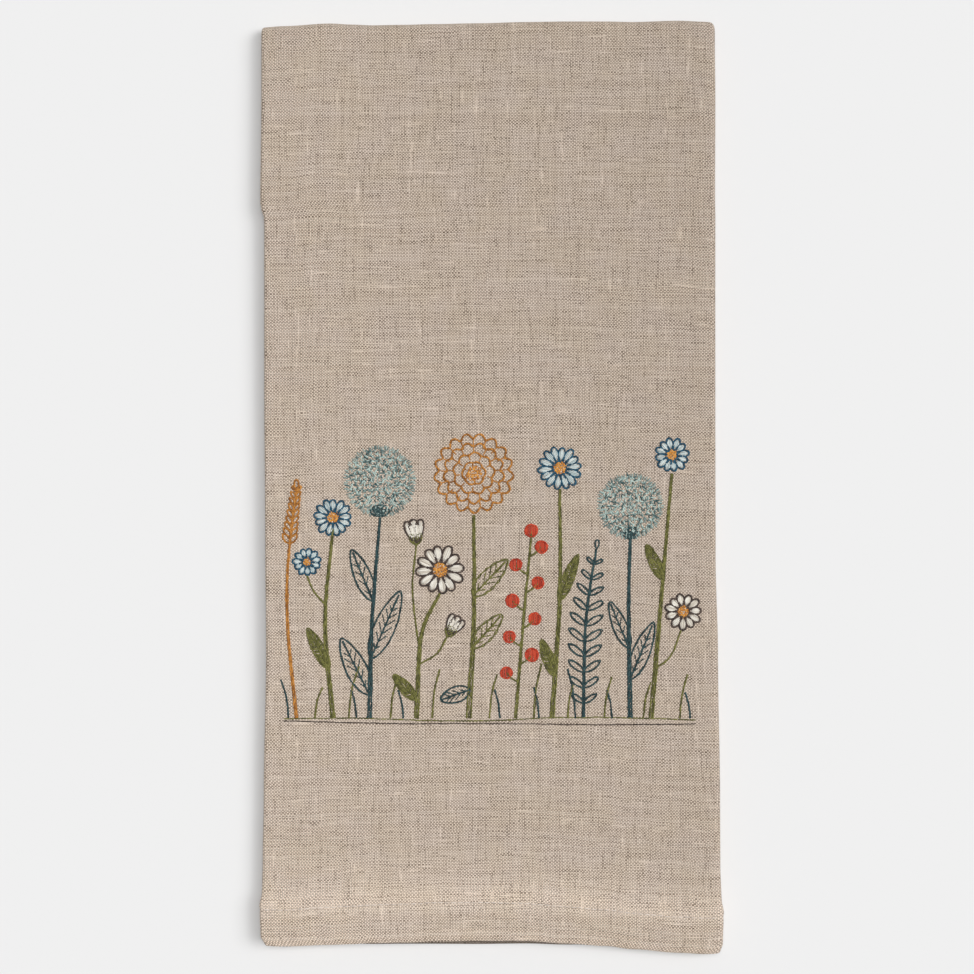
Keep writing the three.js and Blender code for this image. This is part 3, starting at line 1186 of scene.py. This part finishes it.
def colour(red, green, blue):
    """An sRGB colour, 0 to 255, as the linear colour that a shader takes."""
    share = np.array((red, green, blue)) / 255
    linear = np.where(share <= 0.04045, share / 12.92, ((share + 0.055) / 1.055) ** 2.4)
    return (*linear.tolist(), 1.0)


def hem_tone_and_painted_light(nodes, flat):
    """How much paler the linen is near its ends, with painted light and shade by the hem's
    stitches, less the painted shade on the back hem's edge.
    """
    from_back_end = nodes.maths("SUBTRACT", CLOTH_LENGTH, flat["Y"])
    from_middle = nodes.maths("ABSOLUTE", nodes.maths("SUBTRACT", flat["X"], CLOTH_WIDTH / 2))
    # Painted shade on the middle of the back hem's edge
    shade = nodes.spread(from_middle, *BACK_EDGE_WIDTH, BACK_EDGE_SHADE, 0.0)
    back_edge = nodes.spread(from_back_end, *BACK_EDGE_DEPTH, 1.0, 0.0)
    from_end = nodes.maths("MINIMUM", flat["Y"], from_back_end)
    turns = nodes.maths("DIVIDE", nodes.maths("SUBTRACT", flat["X"], WANDER_CREST), WANDER_WIDTH)
    wander = nodes.maths("COSINE", nodes.maths("MULTIPLY", turns, TURN))
    from_end = nodes.maths("MULTIPLY_ADD", wander, -HEM_WANDER, from_end)
    # Paler hems, with painted light above their stitches and painted shade in a dip below
    reach = float(HEM_TONE_AND_PAINTED_LIGHT["up"][-1])
    most = float(HEM_TONE_AND_PAINTED_LIGHT["paler"].max())
    ramp = nodes.add("ShaderNodeValToRGB", {"Fac": nodes.maths("DIVIDE", from_end, reach)})
    stops = ramp.color_ramp.elements
    for number, (up, paler) in enumerate(zip(*HEM_TONE_AND_PAINTED_LIGHT.values())):
        stop = stops[number] if number < 2 else stops.new(up / reach)
        stop.position = up / reach
        stop.color = (*[paler / most] * 3, 1.0)
    paler = nodes.maths("MULTIPLY", ramp.outputs["Color"], most)
    return nodes.maths("SUBTRACT", paler, nodes.maths("MULTIPLY", back_edge, shade))


def linen_material(weave):
    """Natural linen: yarns of uneven tone over painted shade in the gaps, with fine fibres and
    warmer patches. It is paler at the hems, with painted light and shade there, and painted light
    makes it paler toward the lower left corner."""
    material, nodes, shader = new_material("natural linen")
    place = nodes.add("ShaderNodeUVMap", uv_map="flat_cloth").outputs["UV"]
    woven = nodes.add("ShaderNodeGroup", node_tree=weave, inputs={
        "Flat place": place, "Slubs": 0.09, "Pits": 0.12}).outputs
    yarns = nodes.blend(woven["Tone"], colour(*LINEN_DARK), colour(*LINEN_LIGHT))
    fibres = nodes.noise(place, FIBRE_SCALE, detail=3.0, roughness=0.7)
    fibres = nodes.spread(fibres, 0.3, 0.7, 0.0, FIBRES_SHOW)
    yarns = nodes.blend(fibres, yarns, colour(*LINEN_FIBRE))
    warmth = nodes.noise(place, WARM_SCALE, detail=5.0)
    warmth = nodes.spread(warmth, 0.35, 0.65, 0.0, WARMTH_SHOWS)
    yarns = nodes.blend(warmth, yarns, colour(*LINEN_WARM), mode="MULTIPLY")
    # Painted shade between the yarns, from the weave's depth
    shaded = nodes.blend(woven["Depth"], yarns, colour(*LINEN_GAP))
    # Painted light makes the linen paler toward the lower left, and the hems get their own tone
    # with painted light and shade
    on_towel = nodes.add("ShaderNodeTexCoord").outputs["Object"]
    painted_light = nodes.vector_maths("DOT_PRODUCT", on_towel, PAINTED_LIGHT_PER_METRE)["Value"]
    paler = nodes.maths("ADD", hem_tone_and_painted_light(nodes, nodes.parts(place)), 1.0)
    scale = nodes.add("ShaderNodeVectorMath", operation="SCALE", inputs={
        0: shaded, "Scale": nodes.maths("ADD", painted_light, paler)})
    nodes.give_all(shader, {
        "Base Color": scale.outputs["Vector"],
        "Normal": nodes.bump(woven["Height"], 0.15, 0.5),
        "Roughness": 0.92,
        "Specular IOR Level": 0.25,
        "Sheen Weight": 0.25,
        "Sheen Roughness": 0.5,
        "Sheen Tint": colour(*LINEN_SHEEN),
    })
    return material


def twisted_thread():
    """Two-ply thread from a place along and round it, in mm and turns: its grooves and height."""
    group, nodes, given, out = new_group(
        "twisted thread",
        {"Along thread": "NodeSocketVector", "Ply length": "NodeSocketFloat"},
        {"Groove": "NodeSocketFloat", "Height": "NodeSocketFloat"},
    )
    place = nodes.parts(given["Along thread"])
    turns = nodes.maths("DIVIDE", place["X"], given["Ply length"])
    turns = nodes.maths("ADD", turns, nodes.maths("MULTIPLY", place["Y"], 2.0))
    ply = nodes.maths("ABSOLUTE", nodes.maths("SINE", nodes.maths("MULTIPLY", turns, math.pi)))
    nodes.give(out["Groove"], nodes.spread(ply, 0.0, 0.45, 1.0, 0.0))
    nodes.give(out["Height"], ply)
    return group


def thread_material(name, dark, light, twist):
    """Mercerised thread: soft sheen, with painted shade in the grooves of its plies."""
    material, nodes, shader = new_material(name)
    place = nodes.add("ShaderNodeUVMap", uv_map="along_thread").outputs["UV"]
    twisted = nodes.add("ShaderNodeGroup", node_tree=twist, inputs={
        "Along thread": place, "Ply length": PLY_LENGTH}).outputs
    tone = nodes.add("ShaderNodeAttribute", attribute_name="tone").outputs["Fac"]
    base = nodes.blend(tone, colour(*dark), colour(*light))
    # Painted shade in the grooves between the plies
    shade = nodes.maths("MULTIPLY", twisted["Groove"], 0.45)
    nodes.give_all(shader, {
        "Base Color": nodes.blend(shade, base, colour(*[0.5 * part for part in dark])),
        "Normal": nodes.bump(twisted["Height"], 0.05, 0.6),
        "Roughness": 0.55,
        "Specular IOR Level": 0.28,
        "Sheen Weight": 0.1,
    })
    return material


def make_floor():
    """A plain pale floor, just under the towel. Its half width is in metres."""
    half = 1.5
    below = 0.1
    mesh = bpy.data.meshes.new("floor")
    corners = [(-half, -half, 0), (half, -half, 0), (half, half, 0), (-half, half, 0)]
    mesh.from_pydata(corners, [], [(0, 1, 2, 3)])
    floor = new_object("floor", mesh)
    floor.location.z = -below * MM
    material, nodes, shader = new_material("pale floor")
    nodes.give_all(shader, {"Base Color": colour(231, 231, 231), "Roughness": 1.0,
                            "Specular IOR Level": 0.0})
    mesh.materials.append(material)


def make_light():
    """A softbox overhead and a tall one at the right, which is a row of lamps down its height,
    with a pale surround."""
    world = bpy.data.worlds.new("surround")
    world.use_nodes = True
    back = next(n for n in world.node_tree.nodes if n.type == "BACKGROUND")
    back.inputs["Color"].default_value = (1.0, 1.0, 1.0, 1.0)
    back.inputs["Strength"].default_value = SURROUND
    bpy.context.scene.world = world
    for heading, height, strength, angle in zip(*LAMPS.values()):
        lamp = bpy.data.lights.new("softbox", "SUN")
        lamp.energy = strength
        lamp.angle = math.radians(angle)
        softbox = new_object("softbox", lamp)
        softbox.rotation_euler = (math.radians(90 - height), 0, math.radians(heading + 90))
    bpy.context.scene.view_settings.view_transform = "Standard"


def make_camera():
    """Straight above the towel, as in the photograph, with a long lens."""
    view_width = 373.6
    middle_x = -1.75
    middle_y = -0.25
    top = 2 * stack_rise(CLOTH_THICK)
    lens = 100.0
    sensor = 36.0
    camera = bpy.data.cameras.new("camera")
    camera.lens = lens
    camera.sensor_width = sensor
    camera.clip_end = 10.0
    stand = new_object("camera", camera)
    stand.location = (middle_x * MM, middle_y * MM, (view_width * lens / sensor + top) * MM)
    bpy.context.scene.camera = stand


make_camera()
make_light()
make_floor()
cloth = make_cloth()
cloth.data.materials.append(linen_material(plain_weave()))
twist = twisted_thread()
sewn = [make_hem_stitches(twist), *make_embroidery(twist)]
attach(cloth, "root")
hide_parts("towel")
